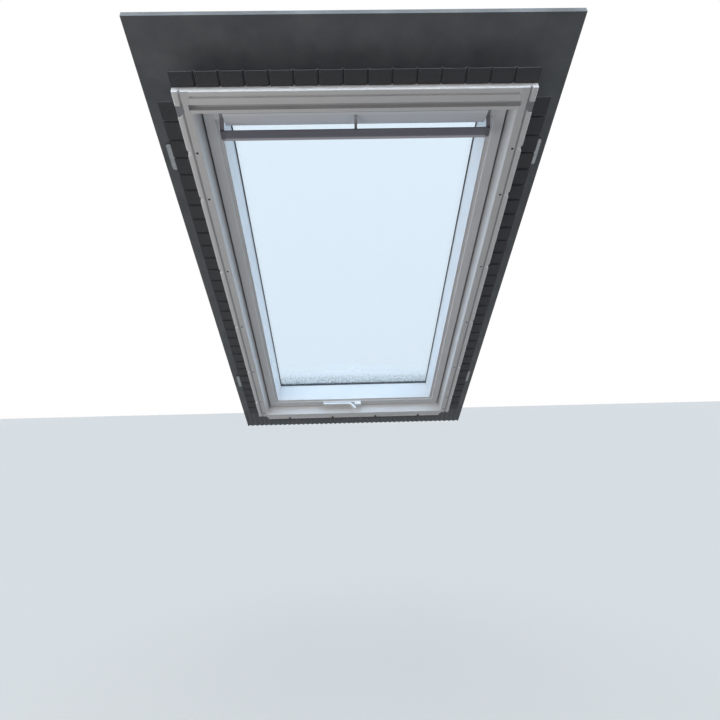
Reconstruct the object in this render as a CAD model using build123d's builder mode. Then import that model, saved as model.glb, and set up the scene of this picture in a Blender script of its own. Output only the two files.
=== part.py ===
from build123d import *
from math import cos, radians, sin, tan
import os

os.makedirs("parts", exist_ok=True)

# A white moulded roof window, closed, as it lies in a sloping roof.
# Sizes are in millimetres. Places are given in the window's own plane:
# x runs across, down runs from the top edge of the frame towards the eaves,
# rise runs from the room side of the frame out towards the sky.

# Driving sizes of the window
roof_pitch = 32
frame_width = 780
frame_length = 1600
frame_depth = 98

# Frame profile
side_face = 35
top_face = 57
bottom_face = 42
wall_lean = 10
lean_depth = 31
step_depth = 60
step_width = 15
groove_inset = 11.5
groove_slant = 3.5
groove_width = 6
groove_depth = 6.5
edge_round = 2.5
butt = 1

# Lining slot across the top rail, let a little into the side members
slot_start = 34
slot_width = 14
slot_depth = 12
slot_end_inset = 29

# Lowered front of the bottom rail
drop_length = 29
drop_depth = 36
drop_overlap = 29.5
drop_chamfer = 12.5
bottom_notch_pitch = 177
bottom_notch_count = 4
notch_width = 14
notch_length = 18
notch_depth = 9
side_notch_reach = 6
side_notch_length = 16
side_recess_reach = 10.5
side_recess_length = 20
side_recess_depth = 2
side_notches_from_top = (168, 318, 610)
side_notches_from_end = (163, 401, 699)

# Screw holes in the side members, one beside each notch and one near the lower end
side_hole_inset = 23
side_hole_radius = 2
side_hole_depth = 5
end_hole_from_end = 60

# Plugs let into the room face at the top of the side members
plug_start = 36.5
plug_width = 18
plug_side = 18
plug_length = 30
plug_point = 6
plug_sink = 3
pocket_depth = 8
plug_clearance = 0.3

# Sash profile
sash_gap = 3
side_stile = 35
top_stile = 40
bottom_stile = 44
splay = 11
ledge_width = 25.5
sash_proud = 23
bead_width = 10.5
bead_lean = 1.5
bead_depth = 5
quirk_inset = 1
quirk_width = 2.4
quirk_depth = 2

# Glazing
pane_thickness = 4
pane_gap = 14
pane_clearance = 1.5
gasket_thickness = 2
gasket_width = 12
gasket_lip = 3
outer_gasket_thickness = 1
outer_gasket_lip = 2.5
spacer_width = 6.5
bar_joint = 0.2

# Seal between frame and sash
seal_width = 9
seal_height = 4

# Ventilation flap and control bar
flap_overhang = 5
flap_height = 16
flap_land = 7
flap_nose = 1
flap_end_gap = 12
bar_width = 30.5
bar_thickness = 2.5
bar_bow = 2.5
bar_lip = 9
bar_rise = 6
bar_from_flap = 5
bar_arm = 3
bar_cap = 1
end_arm_width = 9
end_arm_start = 4
end_arm_foot = 20
centre_arm_width = 6
centre_arm_start = 1
centre_arm_foot = 12

# Handle on the bottom rail of the sash
handle_centre = -48
handle_length = 154
handle_width = 16
handle_inset = 0.5
handle_plate = 3
handle_corner = 4
block_length = 26
block_height = 13
handle_edge_round = 2
pivot_radius = 6
pivot_height = 1
lever_width = 15
lever_thickness = 6.5
lever_end_inset = 1
bend_from_block = 18
lever_angle = 45
lever_flare = 31
lever_bend_radius = 9
lever_round = 3
lever_edge_round = 1.6

# Metal covers outside
sheet = 1.5
cap_overlap = 20
cap_overlap_bottom = 4
cap_reach = 5
cap_leg = 20
cover_clearance = 2
cover_width = 24
cover_leg = 24
cover_upstand = 5
hood_height = 18
hood_length = 92
hood_slope = 14
hood_front = 8
hood_gap = 2

# Flashing
flashing_rise = 61
flashing_sheet = 1
flashing_upstand = 29
flashing_width = 76
flashing_fold = 12
head_length = 130
apron_length = 40
skirt_length = 150
skirt_pleat = 20
skirt_pleat_height = 4

# Installation brackets
bracket_seat = 56
bracket_thickness = 2.5
bracket_length = 80
bracket_reach = 62
bracket_leg = 36
bracket_from_end = 230
bracket_corner = 6
bracket_hole_radius = 3
bracket_hole_pitch = 48
bracket_hole_inset = 16

# Pleated collar round the frame
collar_rise = 14
collar_width = 38
collar_thickness = 2
collar_pleat = 52
collar_fold = 5

# The window's own planes. The seat of the lower left bracket is the origin.
half_width = frame_width / 2
seat_x = -half_width - bracket_reach / 2
seat_down = frame_length - bracket_from_end
out = Vector(0, sin(radians(roof_pitch)), cos(radians(roof_pitch)))
tilted = Plane(origin=(0, 0, 0), x_dir=(1, 0, 0), z_dir=out)
slope = Plane(
    origin=tilted.from_local_coords(Vector(-seat_x, -seat_down, -bracket_seat)),
    x_dir=(1, 0, 0),
    z_dir=out,
)
outwards = Axis(slope.origin, slope.z_dir)


def across(x):
    """Section plane of a rail: drawn in down and rise, extruded towards +x."""
    origin = slope.from_local_coords(Vector(x, 0, 0))
    return Plane(origin=origin, x_dir=slope.y_dir, z_dir=slope.x_dir)


def along(down):
    """Section plane of a stile: drawn in x and rise, extruded up the slope."""
    origin = slope.from_local_coords(Vector(0, down, 0))
    return Plane(origin=origin, x_dir=slope.x_dir, z_dir=-slope.y_dir)


def layer(rise):
    """Plane parallel to the window: drawn in x and down, extruded outwards."""
    return slope.offset(rise)


def inset_point(edge, inset, rise):
    """Point of a section, measured inwards from one outer edge of the frame."""
    if edge == "left":
        return (-half_width + inset, rise)
    if edge == "right":
        return (half_width - inset, rise)
    if edge == "top":
        return (inset, rise)
    return (frame_length - inset, rise)


def strip(edge, outline, start, end, rounds=0):
    """One straight member along an edge, from its outline in inset and rise."""
    upright = edge in ("left", "right")
    plane = along(end) if upright else across(start)
    with BuildPart() as member:
        with BuildSketch(plane) as section:
            with BuildLine():
                Polyline(*[inset_point(edge, *point) for point in outline], close=True)
            make_face()
            if rounds:
                room_side = section.vertices().group_by(Axis.Y)[0].sort_by(Axis.X)
                fillet([room_side[0], room_side[-1]], rounds)
        extrude(amount=end - start)
    return member.part


def less(piece, others):
    """A member cut to fit between the members that it butts against."""
    with BuildPart() as fitted:
        add(piece)
        for other in others:
            add(other, mode=Mode.SUBTRACT)
    return fitted.part


def save(part, name):
    part.label = name
    export_step(part, f"parts/{name}.step")


# Frame: four moulded members with a leaning inner wall and a stepped rebate
face_width = {"left": side_face, "right": side_face, "top": top_face, "bottom": bottom_face}


def frame_outline(edge):
    face = face_width[edge]
    wall = face + wall_lean
    groove = [
        (groove_inset, 0),
        (groove_inset + groove_slant, groove_depth),
        (groove_inset + groove_width, groove_depth),
        (groove_inset + groove_width, 0),
    ]
    rebate = [
        (wall, lean_depth),
        (wall, step_depth),
        (wall - step_width, step_depth),
        (wall - step_width, frame_depth),
    ]
    return [(0, 0), *groove, (face, 0), *rebate, (0, frame_depth)]


def clip(piece, low, high):
    """The part of a member that lies between two rises."""
    with BuildPart() as clipped:
        add(piece)
        with BuildSketch(layer(low)):
            with Locations((0, frame_length / 2)):
                Rectangle(2 * frame_width, 2 * frame_length)
        extrude(amount=high - low, mode=Mode.INTERSECT)
    return clipped.part


def lining_slot():
    """Slot in the room face that takes the edge of the lining under the top rail's front."""
    with BuildPart() as slot:
        with BuildSketch(layer(0)):
            with Locations((0, slot_start + slot_width / 2)):
                Rectangle(2 * (half_width - slot_end_inset), slot_width)
        extrude(amount=slot_depth)
    return slot.part


def corner_outline(hand, clearance):
    """Pointed outline of a plug or its pocket, inwards from the outer edge of the frame."""
    inner = half_width - plug_width + clearance
    start = plug_start + clearance
    end = plug_start + plug_length - clearance
    return [
        (hand * half_width, start),
        (hand * inner, start),
        (hand * inner, plug_start + plug_side),
        (hand * (half_width - plug_point), end),
        (hand * half_width, end),
    ]


def corner_block(hand, low, high, clearance=0):
    with BuildPart() as block:
        with BuildSketch(layer(low)):
            with BuildLine():
                Polyline(*corner_outline(hand, clearance), close=True)
            make_face()
        extrude(amount=high - low)
    return block.part


side_notch_places = [
    *side_notches_from_top,
    *[frame_length - place for place in side_notches_from_end],
]
side_hole_places = [*side_notch_places, frame_length - end_hole_from_end]


def side_notches(hand, reach, length, depth):
    """Row of triangular cuts into a side member's outer edge, all of one depth."""
    with BuildPart() as notches:
        with BuildSketch(layer(0)):
            for place in side_notch_places:
                with BuildLine():
                    Polyline(
                        (hand * half_width, place - length / 2),
                        (hand * (half_width - reach), place),
                        (hand * half_width, place + length / 2),
                        close=True,
                    )
                make_face()
        extrude(amount=depth)
    return notches.part


def frame_side(edge):
    hand = -1 if edge == "left" else 1
    hole_x = hand * (half_width - side_hole_inset)
    with BuildPart() as side:
        add(strip(edge, frame_outline(edge), 0, frame_length, edge_round))
        with BuildSketch(layer(0)):
            with Locations((hand * half_width, frame_length - drop_length / 2)):
                Rectangle(2 * (side_face + wall_lean), drop_length)
        extrude(amount=drop_depth, mode=Mode.SUBTRACT)
        with BuildSketch(layer(0)):
            with Locations(*[(hole_x, place) for place in side_hole_places]):
                Circle(side_hole_radius)
        extrude(amount=side_hole_depth, mode=Mode.SUBTRACT)
        add(side_notches(hand, side_notch_reach, side_notch_length, notch_depth), mode=Mode.SUBTRACT)
        add(side_notches(hand, side_recess_reach, side_recess_length, side_recess_depth), mode=Mode.SUBTRACT)
        add(lining_slot(), mode=Mode.SUBTRACT)
        add(corner_block(hand, 0, pocket_depth), mode=Mode.SUBTRACT)
    return side.part


frame_left = frame_side("left")
frame_right = frame_side("right")

rail_half = half_width - (side_face + wall_lean - step_width) + butt
top_rail = strip("top", frame_outline("top"), -rail_half, rail_half, edge_round)
frame_top = less(top_rail, [lining_slot(), frame_left, frame_right])

# The bottom rail's front is wider than its back and hangs below the ends of the sides
drop_half = half_width - drop_overlap
bottom_front = strip("bottom", frame_outline("bottom"), -drop_half, drop_half, edge_round)
bottom_back = strip("bottom", frame_outline("bottom"), -rail_half, rail_half)
with BuildPart() as bottom_rail:
    add(clip(bottom_front, 0, drop_depth))
    add(clip(bottom_back, drop_depth, frame_depth))
    with BuildSketch(layer(0)):
        for hand in (-1, 1):
            with BuildLine():
                Polyline(
                    (hand * (drop_half - drop_chamfer), frame_length),
                    (hand * drop_half, frame_length),
                    (hand * drop_half, frame_length - drop_length),
                    close=True,
                )
            make_face()
    extrude(amount=drop_depth, mode=Mode.SUBTRACT)
    with BuildSketch(layer(0)):
        for i in range(bottom_notch_count):
            x = (i - (bottom_notch_count - 1) / 2) * bottom_notch_pitch
            with BuildLine():
                Polyline(
                    (x - notch_width / 2, frame_length),
                    (x + notch_width / 2, frame_length),
                    (x, frame_length - notch_length),
                    close=True,
                )
            make_face()
    extrude(amount=notch_depth, mode=Mode.SUBTRACT)
frame_bottom = less(bottom_rail.part, [frame_left, frame_right])

save(frame_left, "frame_left")
save(frame_right, "frame_right")
save(frame_top, "frame_top")
save(frame_bottom, "frame_bottom")

# Corner plugs, seated on the floors of their pockets
save(corner_block(-1, plug_sink, pocket_depth, plug_clearance), "frame_corner_left")
save(corner_block(1, plug_sink, pocket_depth, plug_clearance), "frame_corner_right")


# Sash: four members with a stepped bead, a splayed inner wall and a glazing rebate
stile_width = {"left": side_stile, "right": side_stile, "top": top_stile, "bottom": bottom_stile}
sash_inset = {edge: face_width[edge] + wall_lean + sash_gap for edge in face_width}
opening_inset = {edge: sash_inset[edge] + stile_width[edge] for edge in face_width}
sight_inset = {edge: opening_inset[edge] + splay for edge in face_width}
rebate_inset = {edge: sight_inset[edge] - ledge_width for edge in face_width}

# The glass unit hangs in the sash from its outer face inwards
sash_top = frame_depth + sash_proud
outer_glass = sash_top - outer_gasket_thickness
outer_pane_rise = outer_glass - pane_thickness
glass_rise = outer_pane_rise - pane_gap - pane_thickness
ledge_rise = glass_rise - gasket_thickness
lip_rise = step_depth + seal_height


ledge = lean_depth + bead_depth


def bead_line(face, inwards):
    """Step from the sash's room face down to the ledge beside its splayed wall."""
    return [
        (face - inwards * bead_width, lean_depth),
        (face - inwards * (bead_width - bead_lean), ledge),
        (face, ledge),
    ]


def quirk(face):
    """Small V groove along the ledge, just before the splayed wall."""
    return [
        (face - quirk_inset - quirk_width, ledge),
        (face - quirk_inset - quirk_width / 2, ledge + quirk_depth),
        (face - quirk_inset, ledge),
    ]


def sash_outline(edge):
    outer = sash_inset[edge]
    rebate = rebate_inset[edge]
    lip = outer - step_width
    step_top, step_foot, splay_edge = bead_line(opening_inset[edge], 1)
    return [
        (outer, lean_depth),
        step_top,
        step_foot,
        *quirk(opening_inset[edge]),
        splay_edge,
        (sight_inset[edge], ledge_rise),
        (rebate, ledge_rise),
        (rebate, sash_top),
        (lip, sash_top),
        (lip, lip_rise),
        (outer, lip_rise),
    ]


sash_start = sash_inset["top"]
sash_end = frame_length - sash_inset["bottom"]
lip_start = sash_start - step_width
lip_end = sash_end + step_width


def sash_stile(edge):
    """Side of the sash: its lip runs on over the frame past the ends of its room side."""
    with BuildPart() as stile:
        add(strip(edge, sash_outline(edge), sash_start, sash_end, edge_round))
        add(clip(strip(edge, sash_outline(edge), lip_start, lip_end), lip_rise, sash_top))
    return stile.part


def sash_rail(edge):
    """Rail of the sash, its ends coped to the bead and splayed walls of the stiles."""
    open_half = half_width - opening_inset["left"]
    sight_half = half_width - sight_inset["left"]
    rebate_half = half_width - rebate_inset["left"]
    coped = bead_line(open_half, -1)
    right_side = [
        (coped[0][0], lean_depth - butt),
        *coped,
        (sight_half, ledge_rise),
        (rebate_half, ledge_rise),
        (rebate_half, sash_top + butt),
    ]
    left_side = [(-x, rise) for x, rise in reversed(right_side)]
    half = rebate_half + butt
    with BuildPart() as rail:
        add(strip(edge, sash_outline(edge), -half, half, edge_round))
        with BuildSketch(along(frame_length)):
            with BuildLine():
                Polyline(*right_side, *left_side, close=True)
            make_face()
        extrude(amount=frame_length, mode=Mode.INTERSECT)
    return rail.part


save(sash_stile("left"), "sash_left")
save(sash_stile("right"), "sash_right")
save(sash_rail("top"), "sash_top")
save(sash_rail("bottom"), "sash_bottom")

# Insulating glass unit: two panes, a spacer bar round the edge, and its gaskets
pane_inset = {edge: rebate_inset[edge] + pane_clearance for edge in face_width}
pane_half = half_width - pane_inset["left"]
pane_start = pane_inset["top"]
pane_end = frame_length - pane_inset["bottom"]


def pane(rise):
    with BuildPart() as sheet_glass:
        with BuildSketch(layer(rise)):
            with Locations((0, (pane_start + pane_end) / 2)):
                Rectangle(2 * pane_half, pane_end - pane_start)
        extrude(amount=pane_thickness)
    return sheet_glass.part


save(pane(glass_rise), "pane_inner")
save(pane(outer_pane_rise), "pane_outer")


def bars(outer, inner, low, high):
    """Four straight bars round the window as one node, a hair apart at the corners."""
    start = outer["top"]
    end = frame_length - outer["bottom"]
    side_width = inner["left"] - outer["left"]
    top_width = inner["top"] - outer["top"]
    bottom_width = inner["bottom"] - outer["bottom"]
    with BuildPart() as ring:
        with BuildSketch(layer(low)):
            for hand in (-1, 1):
                with Locations((hand * (half_width - outer["left"] - side_width / 2), (start + end) / 2)):
                    Rectangle(side_width, end - start)
            with Locations((0, start + top_width / 2)):
                Rectangle(2 * (half_width - inner["left"] - bar_joint), top_width)
            with Locations((0, end - bottom_width / 2)):
                Rectangle(2 * (half_width - inner["left"] - bar_joint), bottom_width)
        extrude(amount=high - low)
    return ring.part


# The caps lap over the glass, least along the bottom, where rain runs off
lap = {"left": cap_overlap, "right": cap_overlap, "top": cap_overlap, "bottom": cap_overlap_bottom}
cap_inset = {edge: rebate_inset[edge] + lap[edge] for edge in face_width}
spacer_inset = {edge: pane_inset[edge] + spacer_width for edge in face_width}
lip_inset = {edge: sight_inset[edge] + gasket_lip for edge in face_width}
gasket_inset = {edge: lip_inset[edge] - gasket_width for edge in face_width}
outer_lip_inset = {edge: cap_inset[edge] + outer_gasket_lip for edge in face_width}
save(bars(pane_inset, spacer_inset, glass_rise + pane_thickness, outer_pane_rise), "spacer")
save(bars(gasket_inset, lip_inset, ledge_rise, glass_rise), "gasket_inner")
save(bars(pane_inset, outer_lip_inset, outer_glass, sash_top), "gasket_outer")

# Rubber seal in the step between frame and sash
seal_back = wall_lean - step_width / 2 - seal_width / 2
seal_outer = {edge: face_width[edge] + seal_back for edge in face_width}
seal_inner = {edge: seal_outer[edge] + seal_width for edge in face_width}
save(bars(seal_outer, seal_inner, step_depth, lip_rise), "frame_seal")


# Ventilation flap: a moulding on the top rail of the sash, sloping from a crease to a thin nose
flap_top = sash_start
flap_crease = flap_top + flap_land
flap_bottom = opening_inset["top"] + flap_overhang
flap_half = half_width - opening_inset["left"] - flap_end_gap
flap_face = lean_depth - flap_height
with BuildPart() as vent_flap:
    with BuildSketch(across(-flap_half)):
        with BuildLine():
            Polyline(
                (flap_top, flap_face),
                (flap_crease, flap_face),
                (flap_bottom, lean_depth - flap_nose),
                (flap_bottom, lean_depth),
                (flap_top, lean_depth),
                close=True,
            )
        make_face()
    extrude(amount=2 * flap_half)
save(vent_flap.part, "vent_flap")

# Control bar: a bowed metal blade, joggled back into a flat lip along its lower edge
end_arm_x = flap_half + (half_width - opening_inset["left"] - flap_half) / 2
bar_top = flap_bottom - bar_from_flap
bar_bottom = bar_top + bar_width
bar_half = end_arm_x - end_arm_width / 2
bar_back = bar_rise + bar_thickness
lip_back = bar_back + bar_thickness
blade_end = bar_bottom - bar_lip
blade_behind = blade_end - bar_thickness
with BuildPart() as control_bar:
    with BuildSketch(across(-bar_half)):
        with BuildLine():
            face_middle = ((bar_top + blade_end) / 2, bar_rise - bar_bow)
            ThreePointArc((bar_top, bar_rise), face_middle, (blade_end, bar_rise))
            Polyline(
                (blade_end, bar_rise),
                (blade_end, bar_back),
                (bar_bottom, bar_back),
                (bar_bottom, lip_back),
                (blade_behind, lip_back),
                (blade_behind, bar_back),
                (bar_top, bar_back),
                (bar_top, bar_rise),
            )
        make_face()
    extrude(amount=2 * bar_half)
save(control_bar.part, "control_bar")


# Arms: metal strips from the sash or the flap to the back of the bar
def bar_bracket(middle, width, foot):
    """One arm: its foot's outline, then the strip that leads to the bar and lies along its back."""
    with BuildPart() as arm:
        with BuildSketch(across(middle - width / 2)):
            with BuildLine():
                Polyline(
                    *foot,
                    (bar_top - bar_arm, bar_back),
                    (blade_behind, bar_back),
                    (blade_behind, bar_back + bar_arm),
                    (bar_top - bar_arm / 2, bar_back + bar_arm),
                    close=True,
                )
            make_face()
        extrude(amount=width)
    return arm.part


def end_bracket(middle):
    """Arm at one end of the bar, screwed to the sash and cast with a cap that closes the bar's end."""
    foot_start = flap_top + end_arm_start
    foot_end = foot_start + end_arm_foot
    foot = [
        (foot_end + bar_arm / 2, lean_depth),
        (foot_start, lean_depth),
        (foot_start, lean_depth - bar_arm),
        (foot_end, lean_depth - bar_arm),
    ]
    cap_front = bar_rise - bar_bow
    with BuildPart() as capped:
        add(bar_bracket(middle, end_arm_width, foot))
        with BuildSketch(across(middle - end_arm_width / 2)):
            with BuildLine():
                Polyline(
                    (bar_top - bar_cap, cap_front),
                    (blade_end, cap_front),
                    (blade_end, bar_back),
                    (bar_bottom, bar_back),
                    (bar_bottom, lip_back),
                    (bar_top - bar_cap, lip_back),
                    close=True,
                )
            make_face()
        extrude(amount=end_arm_width)
    return capped.part


def flap_slope(down):
    """Rise of the flap's sloping face at one place down the window."""
    share = (down - flap_crease) / (flap_bottom - flap_crease)
    return flap_face + share * (flap_height - flap_nose)


save(end_bracket(-end_arm_x), "bar_bracket_left")
save(end_bracket(end_arm_x), "bar_bracket_right")
centre_start = flap_crease + centre_arm_start
centre_end = centre_start + centre_arm_foot
centre_foot = [
    (centre_end, flap_slope(centre_end)),
    (centre_start, flap_slope(centre_start)),
    (centre_start, flap_slope(centre_start) - bar_arm),
]
save(bar_bracket(0, centre_arm_width, centre_foot), "bar_bracket_centre")

# Handle: a long plate with a raised block at its right end, and a lever on a boss at its left
face_end = frame_length - opening_inset["bottom"] + bead_width
handle_down = face_end + handle_inset + handle_width / 2
handle_left = handle_centre - handle_length / 2
block_centre = handle_left + handle_length - block_length / 2
plate_face = lean_depth - handle_plate
block_face = lean_depth - block_height
pivot_x = handle_left + handle_width / 2
with BuildPart() as handle_base:
    with BuildSketch(layer(block_face)):
        with Locations((block_centre, handle_down)):
            RectangleRounded(block_length, handle_width, handle_corner)
    extrude(amount=block_height)
    fillet(handle_base.faces().sort_by(outwards)[0].edges(), handle_edge_round)
    with BuildSketch(layer(plate_face)):
        with Locations((handle_centre, handle_down)):
            RectangleRounded(handle_length, handle_width, handle_corner)
    extrude(amount=handle_plate)
    with BuildSketch(layer(plate_face - pivot_height)):
        with Locations((pivot_x, handle_down)):
            Circle(pivot_radius)
    extrude(amount=pivot_height)
save(handle_base.part, "handle_base")

# The lever's side view: straight over the plate, then bent out into the room as a grip
lever_back = plate_face - pivot_height
lever_front = lever_back - lever_thickness
lever_start = handle_left + lever_end_inset
bend_x = block_centre - block_length / 2 - bend_from_block
bend_shift = lever_thickness / 2 * tan(radians(lever_angle / 2))
flare_x = lever_flare * cos(radians(lever_angle))
flare_rise = lever_flare * sin(radians(lever_angle))
tip_x = lever_thickness / 2 * sin(radians(lever_angle))
tip_rise = lever_thickness / 2 * cos(radians(lever_angle))
tip_middle = (bend_x + flare_x, (lever_front + lever_back) / 2 - flare_rise)
with BuildPart() as handle_lever:
    with BuildSketch(along(handle_down + lever_width / 2)):
        with BuildLine():
            FilletPolyline(
                (lever_start, lever_front),
                (bend_x - bend_shift, lever_front),
                (tip_middle[0] - tip_x, tip_middle[1] - tip_rise),
                (tip_middle[0] + tip_x, tip_middle[1] + tip_rise),
                (bend_x + bend_shift, lever_back),
                (lever_start, lever_back),
                radius=[
                    lever_round,
                    lever_bend_radius,
                    lever_round,
                    lever_round,
                    lever_bend_radius + lever_thickness,
                    0,
                ],
                close=True,
            )
        make_face()
    extrude(amount=lever_width)
    cheeks = handle_lever.faces().sort_by(Axis(slope.origin, slope.y_dir))
    fillet(cheeks[0].edges() + cheeks[-1].edges(), lever_edge_round)
save(handle_lever.part, "handle_lever")


# Metal caps over the edges of the sash and the glass
def cap_outline(edge):
    inner = cap_inset[edge]
    outer = sash_inset[edge] - step_width - cap_reach
    return [
        (inner, sash_top + sheet),
        (outer, sash_top + sheet),
        (outer, sash_top - cap_leg),
        (outer + sheet, sash_top - cap_leg),
        (outer + sheet, sash_top),
        (inner, sash_top),
    ]


cap_start = lip_start - cap_reach
cap_end = lip_end + cap_reach
cap_half = half_width - sash_inset["left"] + step_width + cap_reach
cap_left = strip("left", cap_outline("left"), cap_start, cap_end)
cap_right = strip("right", cap_outline("right"), cap_start, cap_end)
cap_span = cap_half - sheet
save(cap_left, "sash_cap_left")
save(cap_right, "sash_cap_right")
for edge in ("top", "bottom"):
    cap_end_piece = strip(edge, cap_outline(edge), -cap_span, cap_span)
    save(less(cap_end_piece, [cap_left, cap_right]), f"sash_cap_{edge}")


# Metal covers over the frame, and the hood over its top rail
def cover_outline():
    outer = -cover_clearance - sheet
    return [
        (outer, frame_depth + sheet),
        (outer, frame_depth - cover_leg),
        (-cover_clearance, frame_depth - cover_leg),
        (-cover_clearance, frame_depth),
        (cover_width, frame_depth),
        (cover_width, frame_depth + cover_upstand),
        (cover_width - sheet, frame_depth + cover_upstand),
        (cover_width - sheet, frame_depth + sheet),
    ]


cover_end = frame_length + cover_clearance + sheet
cover_left = strip("left", cover_outline(), hood_length, cover_end)
cover_right = strip("right", cover_outline(), hood_length, cover_end)
cover_span = half_width - cover_width
cover_leg_outline = [
    (-cover_clearance - sheet, frame_depth),
    (-cover_clearance - sheet, frame_depth - cover_leg),
    (-cover_clearance, frame_depth - cover_leg),
    (-cover_clearance, frame_depth),
]
leg_half = half_width + cover_clearance
with BuildPart() as cover_bottom:
    add(strip("bottom", cover_outline(), -cover_span, cover_span))
    add(strip("bottom", cover_leg_outline, -leg_half, leg_half))
save(cover_left, "cover_left")
save(cover_right, "cover_right")
save(cover_bottom.part, "cover_bottom")

hood_back = -cover_clearance - sheet
hood_top = sash_top + hood_height
hood_half = half_width + cover_clearance + sheet
hood_low = frame_depth - cover_leg
hood_mouth = sash_top + sheet + hood_gap
hood_outline = [
    (hood_back, hood_low),
    (hood_back, hood_top - hood_front),
    (hood_back + hood_front, hood_top),
    (hood_length - hood_slope, hood_top),
    (hood_length, hood_top - hood_front),
    (hood_length, hood_mouth),
]
hood_inside = [
    (hood_back + sheet, hood_low - hood_front),
    (hood_back + sheet, hood_top - hood_front),
    (hood_back + hood_front, hood_top - sheet),
    (hood_length - hood_slope, hood_top - sheet),
    (hood_length - sheet, hood_top - hood_front),
    (hood_length - sheet, hood_low - hood_front),
]
with BuildPart() as cover_hood:
    add(strip("top", hood_outline, -hood_half, hood_half))
    add(strip("top", hood_inside, -hood_half + sheet, hood_half - sheet), mode=Mode.SUBTRACT)
    with BuildSketch(across(-hood_half + sheet / 2)):
        with Locations(((hood_back + cover_width) / 2 + sheet / 4, frame_depth + sheet / 2)):
            Rectangle(cover_width - hood_back - sheet / 2, sheet)
    extrude(amount=2 * hood_half - sheet)
save(cover_hood.part, "cover_hood")


# Flashing: side channels, a head plate, and an apron with a pleated skirt
def flashing_outline(reach):
    low = flashing_rise
    high = flashing_rise + flashing_sheet
    return [
        (0, low),
        (0, low + flashing_upstand),
        (-flashing_sheet, low + flashing_upstand),
        (-flashing_sheet, high),
        (-reach, high),
        (-reach, low + flashing_fold),
        (-reach - flashing_sheet, low + flashing_fold),
        (-reach - flashing_sheet, low),
    ]


flashing_half = half_width + flashing_width + flashing_sheet
save(strip("left", flashing_outline(flashing_width), 0, frame_length), "flashing_left")
save(strip("right", flashing_outline(flashing_width), 0, frame_length), "flashing_right")


def flashing_end(edge, reach, fold):
    """Plate across the window's top or bottom, its upstand only as wide as the frame."""
    outline = flashing_outline(reach)
    high = flashing_rise + flashing_sheet
    if not fold:
        outline = outline[:4] + [(-reach, high), (-reach, flashing_rise)]
    full = strip(edge, outline, -flashing_half, flashing_half)
    corner = (flashing_half - half_width) / 2
    middle = 0 if edge == "top" else frame_length
    with BuildPart() as plate:
        add(full)
        with BuildSketch(layer(high)):
            for hand in (-1, 1):
                with Locations((hand * (half_width + corner), middle)):
                    Rectangle(2 * corner, 4 * flashing_sheet)
        extrude(amount=flashing_upstand, mode=Mode.SUBTRACT)
    return plate.part


save(flashing_end("top", head_length, True), "flashing_head")
save(flashing_end("bottom", apron_length, False), "flashing_apron")

pleats = int(2 * flashing_half / skirt_pleat)
pleat_step = 2 * flashing_half / pleats
with BuildPart() as flashing_skirt:
    with BuildSketch(along(frame_length + apron_length + skirt_length)):
        with BuildLine():
            lower = []
            for i in range(pleats):
                x = -flashing_half + i * pleat_step
                lower.append((x, flashing_rise))
                lower.append((x + pleat_step / 2, flashing_rise + skirt_pleat_height))
            lower.append((flashing_half, flashing_rise))
            upper = [(x, rise + flashing_sheet) for x, rise in reversed(lower)]
            Polyline(*lower, *upper, close=True)
        make_face()
    extrude(amount=skirt_length)
save(flashing_skirt.part, "flashing_skirt")


# Installation brackets: steel angles screwed to the sides of the frame
def bracket(edge, place):
    hand = -1 if edge == "left" else 1
    foot = bracket_seat + bracket_thickness
    outline = [
        (0, foot),
        (0, foot - bracket_leg),
        (-bracket_thickness, foot - bracket_leg),
        (-bracket_thickness, bracket_seat),
        (-bracket_reach, bracket_seat),
        (-bracket_reach, foot),
    ]
    hole_x = hand * (half_width + bracket_reach - bracket_hole_inset)
    with BuildPart() as angle:
        add(strip(edge, outline, place - bracket_length / 2, place + bracket_length / 2))
        outer_end = angle.faces().sort_by(Axis.X)[0 if edge == "left" else -1]
        fillet(outer_end.edges().filter_by(outwards), bracket_corner)
        with BuildSketch(layer(bracket_seat)):
            with Locations(
                (hole_x, place - bracket_hole_pitch / 2),
                (hole_x, place + bracket_hole_pitch / 2),
            ):
                Circle(bracket_hole_radius)
        extrude(amount=bracket_thickness, mode=Mode.SUBTRACT)
    return angle.part


for edge in ("left", "right"):
    save(bracket(edge, bracket_from_end), f"bracket_upper_{edge}")
    save(bracket(edge, frame_length - bracket_from_end), f"bracket_lower_{edge}")


# Collar: pleated underlay strips fixed round the outside of the frame
def collar_line(start, end):
    """Lower edge of a collar in its length and rise, one ridge for each pleat."""
    count = int((end - start) / collar_pleat)
    step = (end - start) / count
    points = [(start, collar_rise)]
    for i in range(1, count):
        ridge = start + i * step
        points.append((ridge - collar_fold, collar_rise))
        points.append((ridge, collar_rise + collar_fold))
        points.append((ridge + collar_fold / 2, collar_rise))
    points.append((end, collar_rise))
    return points


def collar(plane, start, end, reach):
    lower = collar_line(start, end)
    upper = [(place, rise + collar_thickness) for place, rise in reversed(lower)]
    with BuildPart() as band:
        with BuildSketch(plane):
            with BuildLine():
                Polyline(*lower, *upper, close=True)
            make_face()
        extrude(amount=reach)
    return band.part


side_start = plug_start
side_end = frame_length - drop_length
bottom_half = drop_half - drop_chamfer
save(collar(across(-half_width - collar_width), side_start, side_end, collar_width), "collar_left")
save(collar(across(half_width), side_start, side_end, collar_width), "collar_right")
save(collar(along(0), -half_width, half_width, collar_width), "collar_top")
save(collar(along(frame_length + collar_width), -bottom_half, bottom_half, collar_width), "collar_bottom")
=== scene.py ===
from math import atan2, cos, pi, radians, sin
from random import Random

import bmesh
import bpy
from mathutils import Matrix, Vector


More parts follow.
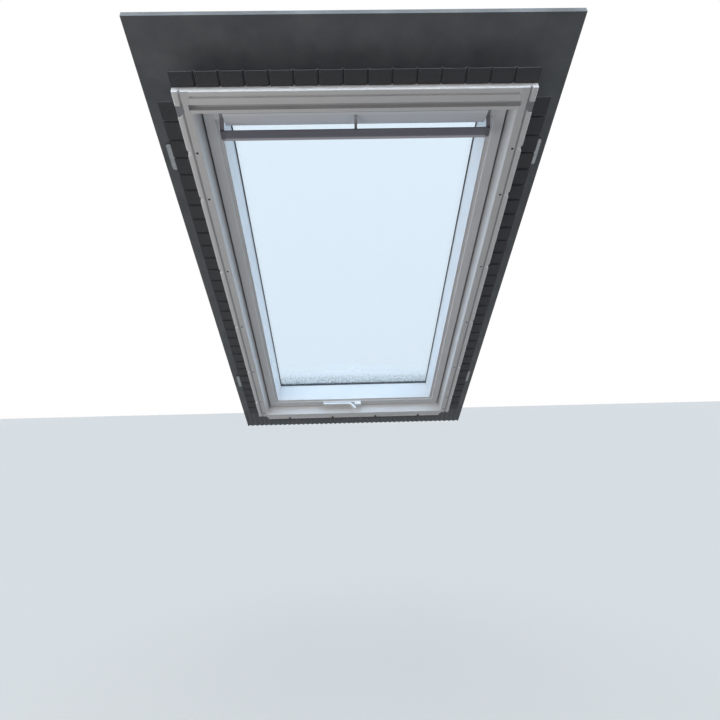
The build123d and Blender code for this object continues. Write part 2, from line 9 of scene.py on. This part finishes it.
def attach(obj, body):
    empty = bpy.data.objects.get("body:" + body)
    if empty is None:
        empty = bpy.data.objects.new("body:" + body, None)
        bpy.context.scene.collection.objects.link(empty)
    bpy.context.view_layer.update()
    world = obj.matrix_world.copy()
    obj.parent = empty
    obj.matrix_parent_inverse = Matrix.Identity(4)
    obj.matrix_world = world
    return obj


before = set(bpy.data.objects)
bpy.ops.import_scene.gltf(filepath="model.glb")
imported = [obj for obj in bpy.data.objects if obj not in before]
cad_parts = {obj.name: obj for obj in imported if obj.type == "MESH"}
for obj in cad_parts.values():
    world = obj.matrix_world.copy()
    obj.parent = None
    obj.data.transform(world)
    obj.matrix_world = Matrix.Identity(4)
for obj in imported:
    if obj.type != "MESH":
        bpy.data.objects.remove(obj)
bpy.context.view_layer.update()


# Frame and sash members. Moulded skins over a core, satin white with a fine grain, dusty and
# soiled on their faces, with painted shade in their grooves, lining slot, screw holes and joints.
# Sizes are millimetres on the window: x across, d down the slope from the frame's top edge, and n
# out from the room face towards the sky.
pitch = radians(32)
half_width = 390
frame_length = 1600
bracket_reach = 62
bracket_from_end = 230
bracket_rise = 56

# The model's origin on the window: the seat of the lower left bracket
seat = Vector((-half_width - bracket_reach / 2, frame_length - bracket_from_end, bracket_rise))


def tone(red, green, blue):
    """A colour as a socket takes it, with an alpha of 1."""
    return (red, green, blue, 1)


class Field:
    """A value in a node tree, which joins in arithmetic as a number does."""

    def __init__(self, tree, socket):
        self.tree = tree
        self.socket = socket

    def node(self, kind, settings, sockets, output=0):
        """Adds a node: its settings are made first, and then its sockets are set or linked."""
        made = self.tree.nodes.new(kind)
        for name, value in settings.items():
            if name == "stops":
                for stop, (position, colour) in zip(made.color_ramp.elements, value):
                    stop.position = position
                    stop.color = colour
            else:
                setattr(made, name, value)
        for name, value in sockets.items():
            if isinstance(value, Field):
                self.tree.links.new(value.socket, made.inputs[name])
            else:
                made.inputs[name].default_value = value
        return Field(self.tree, made.outputs[output])

    def maths(self, operation, first, second=0.0):
        return self.node("ShaderNodeMath", {"operation": operation}, {0: first, 1: second})

    def __add__(self, other):
        return self.maths("ADD", self, other)

    def __radd__(self, other):
        return self.maths("ADD", other, self)

    def __rsub__(self, other):
        return self.maths("SUBTRACT", other, self)

    def __mul__(self, other):
        return self.maths("MULTIPLY", self, other)

    def __rmul__(self, other):
        return self.maths("MULTIPLY", other, self)

    def __abs__(self):
        return self.maths("ABSOLUTE", self)

    def larger(self, other):
        return self.maths("MAXIMUM", self, other)

    def wave(self, length):
        """From 0 to 1 and back, once in each such length of this value."""
        return self.maths("SINE", self * (2 * pi / length)) * 0.5 + 0.5

    def noise(self, scale, detail):
        sockets = {"Vector": self, "Scale": scale, "Detail": detail, "Roughness": 0.55}
        return self.node("ShaderNodeTexNoise", {}, sockets, "Fac")

    def stretched(self, across, down, out):
        """The same place with each axis scaled, for a pattern that runs along one of them."""
        return self.node("ShaderNodeMapping", {}, {"Vector": self, "Scale": (across, down, out)})

    def shades(self, low, high, start=0.3, end=0.7):
        """A colour that goes from one tone to another as this value goes from start to end."""
        stops = ((start, low), (end, high))
        return self.node("ShaderNodeValToRGB", {"stops": stops}, {"Fac": self}, "Color")

    def past(self, start, end):
        """0 below one value and 1 above the other, with an even slope between them."""
        sockets = {"Value": self, "From Min": start, "From Max": end}
        return self.node("ShaderNodeMapRange", {}, sockets)

    def within(self, start, end, edge):
        """1 between two values and 0 outside them, with a soft edge."""
        return self.past(start, start + edge) * (1 - self.past(end - edge, end))

    def part(self, axis):
        return self.node("ShaderNodeSeparateXYZ", {}, {"Vector": self}, axis)

    def mix(self, low, high):
        """A colour between two others, by this value as the share of the second."""
        return self.node("ShaderNodeMix", {"data_type": "RGBA"}, {0: self, 6: low, 7: high}, 2)

    def bump(self, strength, distance):
        sockets = {"Height": self, "Strength": strength, "Distance": distance}
        return self.node("ShaderNodeBump", {}, sockets)


class Finish:
    """A material with one shader, and the place on the window in metres as x, d and n.

    Sockets that are the same all over are given with the name, as in Coat_Weight=1.0.
    """

    def __init__(self, name, **plain):
        self.material = bpy.data.materials.new(name)
        self.material.use_nodes = True
        self.tree = self.material.node_tree
        self.shader = self.tree.nodes["Principled BSDF"]
        for socket, value in plain.items():
            self.give(socket.replace("_", " "), value)
        places = Field(self.tree, self.tree.nodes.new("ShaderNodeTexCoord").outputs["Object"])
        turned = {"Vector": places, "Rotation": (pitch, 0, 0), "Location": seat / 1000}
        self.place = places.node("ShaderNodeMapping", {}, turned)

    def measure(self, axis):
        """One axis of the place in millimetres: X for x, Y for d and Z for n."""
        return self.place.part(axis) * 1000

    def give(self, socket, value):
        """Links a socket of the shader to a value that varies, or sets it to a plain one."""
        if isinstance(value, Field):
            self.tree.links.new(value.socket, self.shader.inputs[socket])
        else:
            self.shader.inputs[socket].default_value = value

    def dress(self, *nodes):
        """Puts this material on pieces of the solid model."""
        for node in nodes:
            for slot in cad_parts[node].material_slots:
                slot.material = self.material


white_skin = Finish("white_skin")
cloud = white_skin.place.noise(9, 4)
grain = white_skin.place.noise(900, 2)
sideways = abs(white_skin.measure("X"))
down = white_skin.measure("Y")
rise = white_skin.measure("Z")

# How far the dirt and the painted shade spread past an edge, the width they fade over, and the
# depth of the face itself
spill = 0.5
soft_edge = 0.6
face_skin = 0.4

# Painted shade in the grooves of the side members, and a film of dust from there to the opening
side_face = 35
groove_inset = 11.5
groove_width = 6
groove_shade_full = 3
film_depth = 1
face_inner_edge = half_width - side_face
groove_outer = half_width - groove_inset
groove_inner = groove_outer - groove_width
groove = sideways.within(groove_inner - spill, groove_outer + spill, soft_edge)
groove = groove * rise.past(face_skin, groove_shade_full)
film = sideways.within(face_inner_edge, groove_inner, soft_edge)
film = film * (1 - rise.past(face_skin, film_depth))

# Painted shade in the slot for the lining, which runs across the top member
slot_start = 34
slot_width = 14
slot_depth = 12
slot_end_inset = 29
slot_shade_start = 0.6
slot_shade_edge = 0.4
slot_end = half_width - slot_end_inset
lining_slot = down.within(slot_start - spill, slot_start + slot_width + spill, soft_edge)
lining_slot = lining_slot * rise.within(slot_shade_start, slot_depth + spill, slot_shade_edge)
lining_slot = lining_slot * (1 - sideways.past(slot_end, slot_end + spill))

# Painted shade on the leaning walls of the side members, which grows darker deeper into the joint
top_face = 57
bottom_face = 42
wall_lean = 10
sash_gap = 3
joint_shade_edge = 0.2
joint_shade_start = 4
joint_shade_full = 32
side_wall = face_inner_edge - wall_lean
top_wall = top_face + wall_lean
bottom_wall = frame_length - bottom_face - wall_lean
joint = sideways.within(side_wall - sash_gap / 2, face_inner_edge + spill, joint_shade_edge)
joint = joint * down.within(top_wall - spill, bottom_wall + 3 * spill, spill)
painted_joint_shade = joint * rise.past(joint_shade_start, joint_shade_full)

# Weather on the outer faces beside, above and below the glazing
glazing_side = 325
glazing_top = 102
glazing_bottom = 1515
glazing_fade = 2
weather_start = 70
weather_full = 74
round_glazing = sideways.past(glazing_side, glazing_side + glazing_fade)
round_glazing = round_glazing.larger(down.past(glazing_bottom, glazing_bottom + glazing_fade))
round_glazing = round_glazing.larger(1 - down.past(glazing_top - glazing_fade, glazing_top))
weathered = round_glazing * rise.past(weather_start, weather_full)

# Painted shade in and round the screw holes of the side members
side_hole_inset = 23
side_hole_places = (168, 318, 610, 901, 1199, 1437, 1540)
rim_reach = 3.4
rim_edge = 1.2
side_hole_x = half_width - side_hole_inset
painted_hole_shade = sum(
    down.within(hole - rim_reach, hole + rim_reach, rim_edge) for hole in side_hole_places
)
painted_hole_shade = painted_hole_shade * sideways.within(side_hole_x - rim_reach, side_hole_x + rim_reach, rim_edge)

clean = cloud.shades(tone(0.83, 0.819, 0.826), tone(0.88, 0.867, 0.872))
# Dust and weather on the faces, and painted shade in the grooves, slot and joints, all darken to
# one grey
dirt_and_painted_shade = (0.2 * groove).larger(0.35 * lining_slot).larger(0.12 * film)
dirt_and_painted_shade = dirt_and_painted_shade.larger(0.6 * painted_joint_shade).larger(0.85 * weathered)
soiled_and_shaded = dirt_and_painted_shade.mix(clean, tone(0.20, 0.20, 0.21))
# Painted shade in and round the screw holes, almost black, goes over it all
white_skin.give("Base Color", painted_hole_shade.mix(soiled_and_shaded, tone(0.05, 0.045, 0.045)))
white_skin.give("Roughness", 0.32 + 0.12 * cloud + 0.2 * groove.larger(lining_slot))
white_skin.give("Normal", grain.bump(0.12, 0.0002))
white_skin.dress("frame_top", "frame_bottom", "frame_left", "frame_right")
white_skin.dress("sash_top", "sash_bottom", "sash_left", "sash_right")


# Screws in the side members of the frame, one beside each notch and one near the lower end.
# Blackened steel with a six-lobed recess, driven to the bottom of their holes.

# The window's three directions, and the step from its millimetres to the model's metres
across_slope = Vector((1, 0, 0))
down_slope = Vector((0, cos(pitch), -sin(pitch)))
out_of_roof = Vector((0, sin(pitch), cos(pitch)))
window = Matrix((across_slope, down_slope, out_of_roof)).transposed().to_4x4()
to_metres = window @ Matrix.Scale(0.001, 4) @ Matrix.Translation(-seat)

# The loops of a screw head: share of its radius, share of its height, and depth of its lobes
lobe_count = 6
head_loops = (
    (1.0, 0.0, 0.0),
    (1.0, 0.3, 0.0),
    (0.86, 0.75, 0.0),
    (0.58, 1.0, 0.0),
    (0.38, 1.0, 0.18),
    (0.34, 0.3, 0.18),
)


def fitted(bm, name, finish):
    """Adds one piece, modelled in the window's millimetres, and fixes it to the window."""
    bmesh.ops.transform(bm, matrix=to_metres, verts=bm.verts)
    bmesh.ops.recalc_face_normals(bm, faces=bm.faces)
    mesh = bpy.data.meshes.new(name)
    bm.to_mesh(mesh)
    bm.free()
    mesh.shade_smooth()
    mesh.set_sharp_from_angle(angle=radians(40))
    mesh.materials.append(finish.material)
    piece = bpy.data.objects.new(name, mesh)
    bpy.context.scene.collection.objects.link(piece)
    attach(piece, "root")


def turned_to(facing):
    """Turn that brings a fixing from the z axis to the way it faces."""
    return Vector(facing).to_track_quat("Z", "Y").to_matrix().to_4x4()


def ring(bm, radius, height, lobes):
    """Loop of edges round the z axis, with lobes as deep as a share of its radius."""
    corners = bmesh.ops.create_circle(bm, segments=4 * lobe_count, radius=radius)["verts"]
    for corner in corners:
        corner.co *= 1 + lobes * cos(lobe_count * atan2(corner.co.y, corner.co.x))
        corner.co.z = height
    return list(dict.fromkeys(edge for corner in corners for edge in corner.link_edges))


def screw_head(radius, height):
    """Domed screw head, with its seat at the origin and its recess on top."""
    bm = bmesh.new()
    loops = [ring(bm, radius * share, height * up, lobes) for share, up, lobes in head_loops]
    for below, above in zip(loops, loops[1:]):
        bmesh.ops.bridge_loops(bm, edges=below + above)
    bmesh.ops.holes_fill(bm, edges=bm.edges[:], sides=0)
    head = bpy.data.meshes.new("head")
    bm.to_mesh(head)
    bm.free()
    return head


def screws(name, seats, radius, height, finish):
    """Screw heads as one piece. Each seat is a place on the window and the way it faces."""
    head = screw_head(radius, height)
    bm = bmesh.new()
    for place, facing in seats:
        before = len(bm.verts)
        bm.from_mesh(head)
        bm.verts.ensure_lookup_table()
        seated = Matrix.Translation(place) @ turned_to(facing)
        bmesh.ops.transform(bm, matrix=seated, verts=bm.verts[before:])
    fitted(bm, name, finish)


# The left and the right side of the window, as factors for x
hands = (-1, 1)
to_room = (0, 0, -1)
side_hole_floor = 5
blackened = Finish("blackened", Metallic=0.2, Specular_IOR_Level=0.2)
rust = blackened.place.noise(700, 3)
rusty = rust.shades(tone(0.015, 0.014, 0.013), tone(0.07, 0.045, 0.03), 0.45, 0.75)
blackened.give("Base Color", rusty)
blackened.give("Roughness", 0.5 + 0.3 * rust)
side_seats = [
    ((hand * side_hole_x, d, side_hole_floor), to_room) for hand in hands for d in side_hole_places
]
screws("side_screws", side_seats, radius=1.9, height=1.6, finish=blackened)

# Plugs in the top corners of the frame. Plain grey moulded plastic with a fine grain, pressed
# into their pockets.
plug_grey = Finish("plug_grey", Roughness=0.55)
plug_grain = plug_grey.place.noise(600, 3)
plug_grey.give("Base Color", plug_grain.shades(tone(0.27, 0.28, 0.30), tone(0.34, 0.35, 0.37)))
plug_grey.give("Normal", plug_grain.bump(0.2, 0.0003))
plug_grey.dress("frame_corner_left", "frame_corner_right")

# Glass unit. Two clear float panes, a dark spacer bar between them and rubber gaskets. A film
# of damp has settled on the room side of the inner pane along its lower edge.
damp_start = 1410
damp_full = 1480
float_glass = Finish("float_glass", Transmission_Weight=1, IOR=1.5)
mottled = float_glass.place.noise(160, 3).past(0.44, 0.60)
damp = float_glass.measure("Y").past(damp_start, damp_full) * mottled
# The light blue of the clear glass is partly its own tint and partly painted sky light seen through
# it
float_glass.give("Base Color", damp.mix(tone(0.875, 0.945, 1.0), tone(0.52, 0.58, 0.60)))
float_glass.give("Roughness", 0.25 * damp)


def let_light_through(finish, colour):
    """Lets light fall through a glassy finish straight and tinted, as thin clear glass does."""
    path = Field(finish.tree, finish.tree.nodes.new("ShaderNodeLightPath").outputs["Is Shadow Ray"])
    clear = path.node("ShaderNodeBsdfTransparent", {}, {"Color": colour})
    glazed = Field(finish.tree, finish.shader.outputs[0])
    either = path.node("ShaderNodeMixShader", {}, {0: path, 1: glazed, 2: clear})
    finish.tree.links.new(either.socket, finish.tree.nodes["Material Output"].inputs["Surface"])


let_light_through(float_glass, tone(0.93, 0.97, 1.0))
float_glass.dress("pane_inner", "pane_outer")

spacer_bar = Finish("spacer_bar")
spacer_ribs = spacer_bar.place.noise(300, 2)
spacer_bar.give("Base Color", spacer_ribs.shades(tone(0.04, 0.04, 0.06), tone(0.07, 0.07, 0.09)))
spacer_bar.give("Roughness", 0.4 + 0.2 * spacer_ribs)
spacer_bar.dress("spacer")

rubber = Finish("rubber", Roughness=0.6)
rubber_wear = rubber.place.noise(120, 3)
rubber.give("Base Color", rubber_wear.shades(tone(0.03, 0.03, 0.035), tone(0.055, 0.055, 0.06)))
rubber.give("Normal", rubber_wear.bump(0.15, 0.0003))
rubber.dress("gasket_inner", "gasket_outer", "frame_seal")

# Drops of water on the damp part of the inner pane. Flat round beads that cling to the glass,
# largest and closest together along the lower edge.
pane_face = 98
pane_low_edge = 1488
drop_count = 520
drop_band = 55
drop_reach = 292
smallest_drop = 0.5
drop_spread = 1.1
shrink_upwards = 0.6
drop_flatness = 0.4
water = Finish("water", Base_Color=tone(0.97, 0.99, 1.0), Transmission_Weight=1, IOR=1.33)
water.give("Roughness", 0.02 + 0.03 * water.place.noise(400, 2))
let_light_through(water, tone(0.95, 0.98, 1.0))
chance = Random(5)
beads = bmesh.new()
for _ in range(drop_count):
    up = chance.random() ** 2
    size = (smallest_drop + drop_spread * chance.random()) * (1 - shrink_upwards * up)
    x = chance.uniform(-drop_reach, drop_reach)
    on_pane = Matrix.Translation((x, pane_low_edge - size - drop_band * up, pane_face))
    flattened = on_pane @ Matrix.Diagonal((1, 1, drop_flatness, 1))
    bmesh.ops.create_icosphere(beads, subdivisions=1, radius=size, matrix=flattened)
fitted(beads, "water_drops", water)

# Ventilation flap on the top of the sash. A moulding of the same white plastic, painted lighter
# and bluer than the frame as a painted copy of the sky light that falls on it.
sky_lit_flap_skin = Finish("sky_lit_flap_skin", Roughness=0.33)
flap_cloud = sky_lit_flap_skin.place.noise(7, 4)
sky_lit_flap_skin.give("Base Color", flap_cloud.shades(tone(0.89, 0.905, 0.94), tone(0.92, 0.93, 0.96)))
sky_lit_flap_skin.give("Normal", sky_lit_flap_skin.place.noise(900, 2).bump(0.12, 0.0002))
sky_lit_flap_skin.dress("vent_flap")

# Control bar. A drawn aluminium blade, satin anodised, with fine lines along its length. The
# flat lip below it carries a painted highlight that makes it paler than the blade.
blade_end = 131.5
lip_edge = 0.2
blade_dark = tone(0.118, 0.110, 0.132)
painted_lip_highlight = tone(0.40, 0.37, 0.40)
anodised = Finish("anodised", Metallic=0.6)
lines = anodised.place.stretched(4, 900, 900).noise(1, 2)
blade = lines.shades(blade_dark, tone(0.155, 0.146, 0.170), 0.2, 0.8)
lip = anodised.measure("Y").past(blade_end, blade_end + lip_edge)
anodised.give("Base Color", lip.mix(blade, painted_lip_highlight))
anodised.give("Roughness", 0.3 + 0.15 * lines)
anodised.give("Normal", lines.bump(0.1, 0.0002))
anodised.dress("control_bar")

# Arms of the control bar. Pressed strip and small castings, sprayed grey, with painted shade
# that darkens them down the slope to the blade's tone, and the lip's painted highlight on the end
# caps.
shade_start = 80
shade_full = 112
sprayed_grey = Finish("sprayed_grey", Metallic=0.2)
spray = sprayed_grey.place.noise(450, 3)
arm_tone = spray.shades(tone(0.33, 0.325, 0.34), tone(0.40, 0.395, 0.41))
down_arm = sprayed_grey.measure("Y")
arm_shade = down_arm.past(shade_start, shade_full).mix(arm_tone, blade_dark)
cap_lip_highlight = down_arm.past(blade_end, blade_end + lip_edge)
sprayed_grey.give("Base Color", cap_lip_highlight.mix(arm_shade, painted_lip_highlight))
sprayed_grey.give("Roughness", 0.36 + 0.16 * spray)
sprayed_grey.dress("bar_bracket_left", "bar_bracket_right", "bar_bracket_centre")

# Fixings of the control bar. Two small screws through the foot of each end arm, and flat
# rivets that hold the bowed blade to its three arms.
end_arm_x = 301
arm_face = 28
arm_screw_places = (78, 88)
arm_seats = [((hand * end_arm_x, d, arm_face), to_room) for hand in hands for d in arm_screw_places]
screws("arm_screws", arm_seats, radius=2.4, height=1.5, finish=sprayed_grey)

# The blade is an arc, so its radius and its axis follow from its chord and its bow
bar_rise = 6
blade_chord = 21.5
blade_bow = 2.5
blade_middle = blade_end - blade_chord / 2
blade_radius = (blade_chord**2 / 4 + blade_bow**2) / (2 * blade_bow)
blade_axis = bar_rise - blade_bow + blade_radius
rivet_inset = 10
rivet_flatness = 0.35
rivet_lean = radians(15)
rivet_facing = Vector((0, -sin(rivet_lean), -cos(rivet_lean)))
rivets = bmesh.new()
for x in (-end_arm_x + rivet_inset, 0, end_arm_x - rivet_inset):
    place = Vector((x, blade_middle, blade_axis)) + blade_radius * rivet_facing
    on_blade = Matrix.Translation(place) @ turned_to(rivet_facing)
    flattened = on_blade @ Matrix.Diagonal((1, 1, rivet_flatness, 1))
    bmesh.ops.create_uvsphere(rivets, u_segments=20, v_segments=10, radius=2.2, matrix=flattened)
fitted(rivets, "bar_rivets", anodised)

# Handle. A cast base plate and lever, painted a glossy white, with a cap over the pivot and one
# screw through the plate beside the block.
handle_down = 1520
pivot_x = -117
lever_front = 20.5
cap_flatness = 0.22
plate_screw_x = -5.5
plate_front = 28
handle_paint = Finish("handle_paint", Coat_Weight=1.0)
orange_peel = handle_paint.place.noise(350, 2)
handled = handle_paint.place.noise(28, 4)
handle_paint.give("Base Color", handled.shades(tone(0.94, 0.945, 0.95), tone(0.97, 0.973, 0.976)))
handle_paint.give("Roughness", 0.2 + 0.1 * orange_peel)
handle_paint.give("Normal", orange_peel.bump(0.06, 0.0003))
handle_paint.dress("handle_base", "handle_lever")
pivot_cap = bmesh.new()
on_lever = Matrix.Translation((pivot_x, handle_down, lever_front))
flattened = on_lever @ Matrix.Diagonal((1, 1, cap_flatness, 1))
bmesh.ops.create_uvsphere(pivot_cap, u_segments=28, v_segments=12, radius=4.6, matrix=flattened)
fitted(pivot_cap, "handle_pivot_cap", handle_paint)

bright_steel = Finish("bright_steel", Metallic=1.0)
turned_marks = bright_steel.place.noise(900, 3)
steel_tone = turned_marks.shades(tone(0.46, 0.46, 0.47), tone(0.62, 0.62, 0.63))
bright_steel.give("Base Color", steel_tone)
bright_steel.give("Roughness", 0.24 + 0.2 * turned_marks)
plate_seats = [((plate_screw_x, handle_down, plate_front), to_room)]
screws("handle_screw", plate_seats, radius=3.2, height=1.1, finish=bright_steel)

# Metal covers, caps and hood outside. Folded aluminium sheet with a baked grey coating, dusty
# and slightly streaked down the slope by rain.
baked_grey = Finish("baked_grey")
rain = baked_grey.place.stretched(40, 2.5, 40).noise(1, 4)
fine_dust = baked_grey.place.noise(1200, 2)
streaks = rain.shades(tone(0.06, 0.065, 0.07), tone(0.10, 0.105, 0.11), 0.25, 0.75)
baked_grey.give("Base Color", streaks)
baked_grey.give("Roughness", 0.34 + 0.2 * rain)
baked_grey.give("Normal", fine_dust.bump(0.15, 0.0002))
baked_grey.dress("cover_hood", "cover_left", "cover_right", "cover_bottom")
baked_grey.dress("sash_cap_top", "sash_cap_bottom", "sash_cap_left", "sash_cap_right")

# Screws of the covers and the hood. Stainless, through the turned-down edges into the frame,
# at both sides and along the lower end.
cover_clearance = 2
cover_sheet = 1.5
cover_side = half_width + cover_clearance + cover_sheet
cover_end = frame_length + cover_clearance + cover_sheet
cover_screw_rise = 84
hood_screw_rise = 112
cover_screw_places = (180, 640, 1100, 1560)
hood_screw_places = (18, 66)
end_screw_places = (-300, 0, 300)


def side_edge_seats(places, rise):
    """Seats in the turned-down edges at both sides, at some places down the slope."""
    return [((hand * cover_side, d, rise), (hand, 0, 0)) for hand in hands for d in places]


cover_seats = side_edge_seats(cover_screw_places, cover_screw_rise)
cover_seats += [((x, cover_end, cover_screw_rise), (0, 1, 0)) for x in end_screw_places]
screws("cover_screws", cover_seats, radius=3.4, height=2.2, finish=bright_steel)
hood_seats = side_edge_seats(hood_screw_places, hood_screw_rise)
screws("hood_screws", hood_seats, radius=3.4, height=2.2, finish=bright_steel)

# Flashing round the frame, and its pleated skirt. Softer sheet with the same grey coating,
# matt, with water marks, and worn paler along the pleats.
flashing_coat = Finish("flashing_coat")
marks = flashing_coat.place.noise(14, 5)
flashing_coat.give("Base Color", marks.shades(tone(0.075, 0.08, 0.085), tone(0.125, 0.13, 0.135)))
flashing_coat.give("Roughness", 0.42 + 0.2 * marks)
flashing_coat.dress("flashing_left", "flashing_right", "flashing_head", "flashing_apron")

pleat_pitch = 6
skirt_coat = Finish("skirt_coat")
stains = skirt_coat.place.noise(9, 5)
pleats = skirt_coat.measure("X").wave(pleat_pitch)
worn = 0.35 * pleats.past(0.7, 1.0)
skirt_tone = stains.shades(tone(0.075, 0.08, 0.085), tone(0.115, 0.12, 0.125))
skirt_coat.give("Base Color", worn.mix(skirt_tone, tone(0.22, 0.225, 0.23)))
skirt_coat.give("Roughness", 0.5 + 0.2 * stains)
skirt_coat.give("Normal", pleats.bump(0.7, 0.0015))
skirt_coat.dress("flashing_skirt")

# Installation brackets. Pressed steel angles, zinc plated, with the plating's faint spangle,
# each held to the side of the frame by three screws.
bracket_thickness = 2.5
bracket_side = half_width + bracket_thickness
bracket_screw_rise = 38
bracket_screw_pitch = 28
zinc = Finish("zinc", Metallic=0.9)
cells = {"Vector": zinc.place, "Scale": 160.0}
spangle = zinc.place.node("ShaderNodeTexVoronoi", {}, cells, "Color").part("X")
zinc.give("Base Color", spangle.shades(tone(0.29, 0.30, 0.31), tone(0.39, 0.40, 0.41), 0.0, 1.0))
zinc.give("Roughness", 0.36 + 0.16 * spangle)
zinc.dress("bracket_upper_left", "bracket_upper_right", "bracket_lower_left", "bracket_lower_right")
bracket_seats = [
    ((hand * bracket_side, middle + step * bracket_screw_pitch, bracket_screw_rise), (hand, 0, 0))
    for hand in hands
    for middle in (bracket_from_end, frame_length - bracket_from_end)
    for step in (-1, 0, 1)
]
screws("bracket_screws", bracket_seats, radius=4.2, height=2.6, finish=bright_steel)

# Collar of pleated underlay round the frame. Black felted sheet, folded and pressed, which
# seals the roof's underlay to the frame.
felt = Finish("felt", Roughness=0.9, Sheen_Weight=0.2)
fibres = felt.place.noise(500, 4)
felt.give("Base Color", fibres.shades(tone(0.026, 0.026, 0.030), tone(0.08, 0.08, 0.086)))
felt.give("Normal", fibres.bump(0.5, 0.0008))
felt.dress("collar_left", "collar_right", "collar_top", "collar_bottom")

# Camera at the photograph's viewing angle: inside on the ridge side, a little below the height
# of the window's middle, and looking almost level. Its place, turn and lens come from a fit to
# the window's corners and edges. From here on, places are metres from the model's origin.
lens = bpy.data.cameras.new("camera")
lens.lens = 33.73
lens.sensor_width = 36
lens.clip_start = 0.05
camera = bpy.data.objects.new("camera", lens)
camera.location = (0.37992, -2.63347, 0.14653)
camera.rotation_euler = [radians(angle) for angle in (88.4016, 1.2646, -1.4892)]
bpy.context.scene.collection.objects.link(camera)
bpy.context.scene.camera = camera


# Surround: a soft sky on the roof's side, weaker straight out from it, and a dim room below.
# Both are plain white to what looks at them, in a mirror or through glass too.
def looked_at(tree):
    """1 for rays that look at a thing, in a mirror or through glass too, and 0 for its light."""
    path = tree.nodes.new("ShaderNodeLightPath")
    camera_ray = Field(tree, path.outputs["Is Camera Ray"])
    glossy_ray = Field(tree, path.outputs["Is Glossy Ray"])
    return camera_ray.larger(glossy_ray).larger(Field(tree, path.outputs["Is Transmission Ray"]))


room_light = 0.12
sky_light = 4.4
straight_out_loss = 0.75
room_tone = tone(1.0, 0.92, 0.84)
sky_tone = tone(0.77, 0.90, 1.02)
world = bpy.data.worlds.new("surround")
world.use_nodes = True
bpy.context.scene.world = world
tree = world.node_tree
glow = tree.nodes["Background"]
seen = looked_at(tree)
sight = Field(tree, tree.nodes.new("ShaderNodeTexCoord").outputs["Generated"])

# How far a direction points out of the roof: 1 straight out, 0 along it and -1 into the room
directions = {0: sight, 1: out_of_roof}
outward = sight.node("ShaderNodeVectorMath", {"operation": "DOT_PRODUCT"}, directions, "Value")
sky = outward.past(-0.15, 0.15)
straight_out = outward.past(0.4, 0.9)
light = room_light + sky_light * sky * (1 - straight_out_loss * straight_out)
strength = seen + (1 - seen) * light
colour = seen.mix(sky.mix(room_tone, sky_tone), tone(1, 1, 1))
tree.links.new(colour.socket, glow.inputs["Color"])
tree.links.new(strength.socket, glow.inputs["Strength"])

# Plain pale floor well below the window. To the light that it throws back up it is a darker
# floor, like that of a dim room.
floor_reach = 12
floor_level = -1.35
floor_light = tone(0.31, 0.285, 0.265)
floor_dark = tone(0.075, 0.07, 0.065)
slab = bmesh.new()
bmesh.ops.create_grid(slab, x_segments=1, y_segments=1, size=floor_reach)
bmesh.ops.translate(slab, verts=slab.verts, vec=(0, 0, floor_level))
floor_mesh = bpy.data.meshes.new("floor")
slab.to_mesh(floor_mesh)
slab.free()
floor = bpy.data.objects.new("floor", floor_mesh)
bpy.context.scene.collection.objects.link(floor)
floor_pale = Finish("floor_pale", Roughness=0.9)
floor_pale.give("Base Color", looked_at(floor_pale.tree).mix(floor_dark, floor_light))
floor_mesh.materials.append(floor_pale.material)


# Soft lamps: two wide ones above the roof as the bright part of the sky, and two weaker ones
# in the room. They light the window without being seen, in the glass either.
def soft_lamp(name, place, aim, size, power, hue):
    lamp = bpy.data.lights.new(name, "AREA")
    lamp.shape = "SQUARE"
    lamp.size = size
    lamp.energy = power
    lamp.color = hue
    holder = bpy.data.objects.new(name, lamp)
    holder.location = place
    holder.rotation_euler = (Vector(aim) - Vector(place)).to_track_quat("-Z", "Y").to_euler()
    holder.visible_camera = False
    holder.visible_glossy = False
    holder.visible_transmission = False
    bpy.context.scene.collection.objects.link(holder)


sky_hue = (0.77, 0.91, 1.0)
room_hue = (1.0, 0.93, 0.88)
soft_lamp("sky_lamp", (0.4, -1.6, 3.2), (0.4, 0.0, 0.1), 1.6, 9, sky_hue)
soft_lamp("ridge_lamp", (0.4, -2.36, 2.54), (0.4, 0.1, -0.1), 1.4, 34, sky_hue)
soft_lamp("room_lamp_left", (-1.4, -1.9, -0.1), (0.1, -0.3, 0.3), 1.4, 11, room_hue)
soft_lamp("room_lamp_right", (2.2, -1.9, -0.1), (0.7, -0.3, 0.3), 1.4, 2, room_hue)

# Colours are shown as they are.
view = bpy.context.scene.view_settings
view.view_transform = "Standard"
